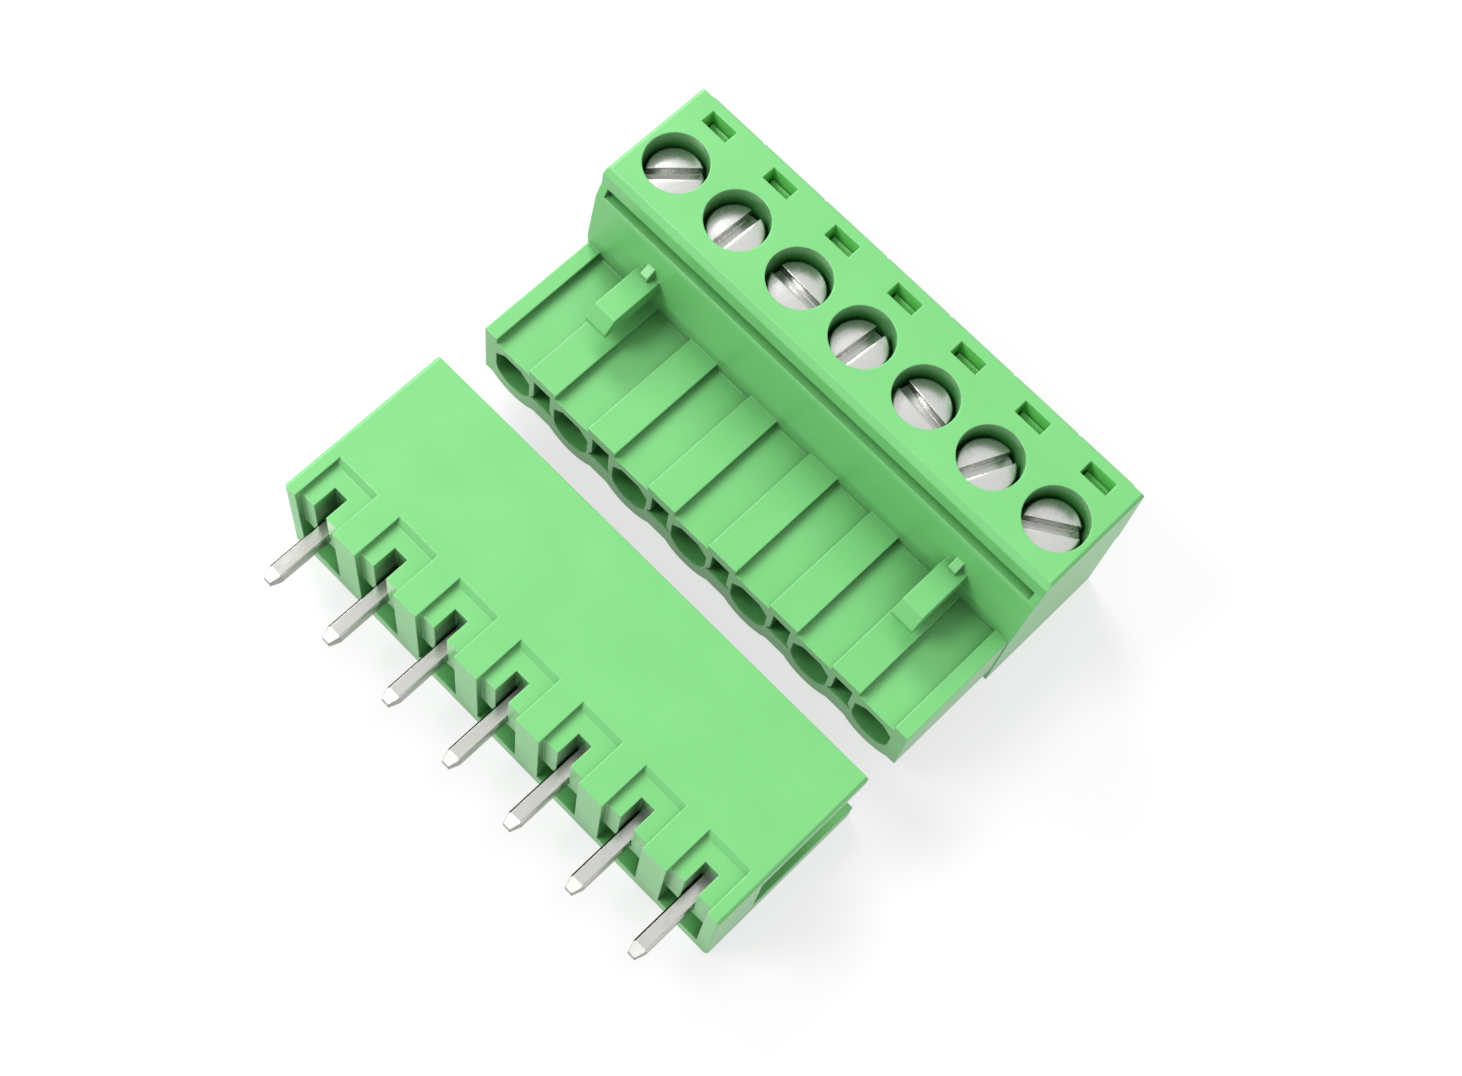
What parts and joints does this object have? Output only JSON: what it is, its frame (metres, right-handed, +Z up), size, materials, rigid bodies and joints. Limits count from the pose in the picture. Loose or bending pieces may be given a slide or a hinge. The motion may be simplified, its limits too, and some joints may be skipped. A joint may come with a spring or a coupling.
{
  "type": "pluggable terminal block",
  "caption": "Pluggable screw terminal block, unplugged: a plug with slotted screws over rising cage clamps, and the straight pin header that it slides into.",
  "frame": {"origin": "middle of the pair's footprint, on the surface that both halves lie on", "axes": "+X along the row of poles, +Y from the header's solder pins to the plug's wire entries, +Z up out of the screw wells"},
  "size_m": [0.0356, 0.038, 0.015],
  "materials": {
    "green_plastic": "satin moulded polyamide",
    "tinned_pin": "tin-plated",
    "tinned_bronze": "tin-plated",
    "nickel_brass": "nickel-plated",
    "nickel_steel": "nickel-plated, turned"
  },
  "bodies": {
    "header": {"header_housing": "green_plastic", "header_pin_1": "tinned_pin", "header_pin_2": "tinned_pin", "header_pin_3": "tinned_pin", "header_pin_4": "tinned_pin", "header_pin_5": "tinned_pin", "header_pin_6": "tinned_pin", "header_pin_7": "tinned_pin"},
    "plug": {"plug_base": "green_plastic", "plug_cap": "green_plastic", "contact_1": "tinned_bronze", "contact_2": "tinned_bronze", "contact_3": "tinned_bronze", "contact_4": "tinned_bronze", "contact_5": "tinned_bronze", "contact_6": "tinned_bronze", "contact_7": "tinned_bronze"},
    "screw_1": {"screw_1": "nickel_steel"},
    "clamp_1": {"clamp_1": "nickel_brass"},
    "screw_2": {"screw_2": "nickel_steel"},
    "clamp_2": {"clamp_2": "nickel_brass"},
    "screw_3": {"screw_3": "nickel_steel"},
    "clamp_3": {"clamp_3": "nickel_brass"},
    "screw_4": {"screw_4": "nickel_steel"},
    "clamp_4": {"clamp_4": "nickel_brass"},
    "screw_5": {"screw_5": "nickel_steel"},
    "clamp_5": {"clamp_5": "nickel_brass"},
    "screw_6": {"screw_6": "nickel_steel"},
    "clamp_6": {"clamp_6": "nickel_brass"},
    "screw_7": {"screw_7": "nickel_steel"},
    "clamp_7": {"clamp_7": "nickel_brass"}
  },
  "joints": [
    {"name": "plug_slide", "type": "slide", "parent": "header", "child": "plug", "axis": [0, -1, 0], "range_m": [0, 0.01195]},
    {"name": "screw_1_turn", "type": "hinge", "parent": "plug", "child": "screw_1", "pos_m": [-0.01524, 0.01365, 0.0122], "axis": [0, 0, -1], "range_deg": [0, 1800]},
    {"name": "clamp_1_lift", "type": "slide", "parent": "plug", "child": "clamp_1", "axis": [0, 0, 1], "range_m": [0, 0.0025]},
    {"name": "screw_2_turn", "type": "hinge", "parent": "plug", "child": "screw_2", "pos_m": [-0.01016, 0.01365, 0.0122], "axis": [0, 0, -1], "range_deg": [0, 1800]},
    {"name": "clamp_2_lift", "type": "slide", "parent": "plug", "child": "clamp_2", "axis": [0, 0, 1], "range_m": [0, 0.0025]},
    {"name": "screw_3_turn", "type": "hinge", "parent": "plug", "child": "screw_3", "pos_m": [-0.00508, 0.01365, 0.0122], "axis": [0, 0, -1], "range_deg": [0, 1800]},
    {"name": "clamp_3_lift", "type": "slide", "parent": "plug", "child": "clamp_3", "axis": [0, 0, 1], "range_m": [0, 0.0025]},
    {"name": "screw_4_turn", "type": "hinge", "parent": "plug", "child": "screw_4", "pos_m": [0, 0.01365, 0.0122], "axis": [0, 0, -1], "range_deg": [0, 1800]},
    {"name": "clamp_4_lift", "type": "slide", "parent": "plug", "child": "clamp_4", "axis": [0, 0, 1], "range_m": [0, 0.0025]},
    {"name": "screw_5_turn", "type": "hinge", "parent": "plug", "child": "screw_5", "pos_m": [0.00508, 0.01365, 0.0122], "axis": [0, 0, -1], "range_deg": [0, 1800]},
    {"name": "clamp_5_lift", "type": "slide", "parent": "plug", "child": "clamp_5", "axis": [0, 0, 1], "range_m": [0, 0.0025]},
    {"name": "screw_6_turn", "type": "hinge", "parent": "plug", "child": "screw_6", "pos_m": [0.01016, 0.01365, 0.0122], "axis": [0, 0, -1], "range_deg": [0, 1800]},
    {"name": "clamp_6_lift", "type": "slide", "parent": "plug", "child": "clamp_6", "axis": [0, 0, 1], "range_m": [0, 0.0025]},
    {"name": "screw_7_turn", "type": "hinge", "parent": "plug", "child": "screw_7", "pos_m": [0.01524, 0.01365, 0.0122], "axis": [0, 0, -1], "range_deg": [0, 1800]},
    {"name": "clamp_7_lift", "type": "slide", "parent": "plug", "child": "clamp_7", "axis": [0, 0, 1], "range_m": [0, 0.0025]}
  ],
  "couplings": [
    {"joint": "screw_1_turn", "follows": "clamp_1_lift", "rad_per_m": 12566},
    {"joint": "screw_2_turn", "follows": "clamp_2_lift", "rad_per_m": 12566},
    {"joint": "screw_3_turn", "follows": "clamp_3_lift", "rad_per_m": 12566},
    {"joint": "screw_4_turn", "follows": "clamp_4_lift", "rad_per_m": 12566},
    {"joint": "screw_5_turn", "follows": "clamp_5_lift", "rad_per_m": 12566},
    {"joint": "screw_6_turn", "follows": "clamp_6_lift", "rad_per_m": 12566},
    {"joint": "screw_7_turn", "follows": "clamp_7_lift", "rad_per_m": 12566}
  ]
}
